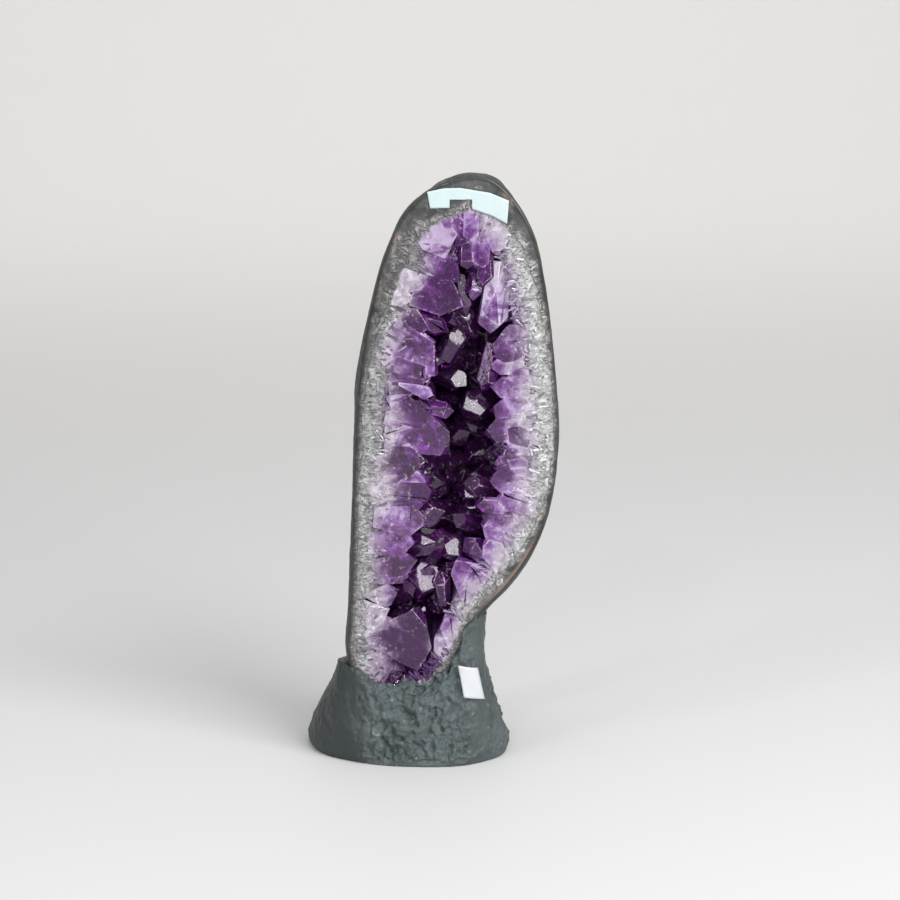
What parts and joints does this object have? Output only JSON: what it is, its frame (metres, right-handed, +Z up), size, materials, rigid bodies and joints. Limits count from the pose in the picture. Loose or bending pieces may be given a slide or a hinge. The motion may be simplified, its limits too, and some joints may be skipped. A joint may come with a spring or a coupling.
{
  "type": "amethyst geode on a cement foot",
  "caption": "Tall half geode sawn flat and polished in front, with a purple crystal-lined hollow, standing upright in a flared cement foot.",
  "frame": {"origin": "on the resting plane, under the middle of the whole object's box", "axes": "+Z up along the geode's length, the sawn crystal face looks along -Y, +X to the right as seen from the front"},
  "size_m": [0.114, 0.0806, 0.2611],
  "materials": {
    "rind_stone": "satin",
    "amethyst": "gloss",
    "painted_cement": "matte",
    "label_paper": "satin"
  },
  "bodies": {
    "root": {"geode_rind": "rind_stone", "crystal_lining": "amethyst", "cement_foot": "painted_cement", "weight_label": "label_paper", "price_label": "label_paper"}
  },
  "joints": []
}
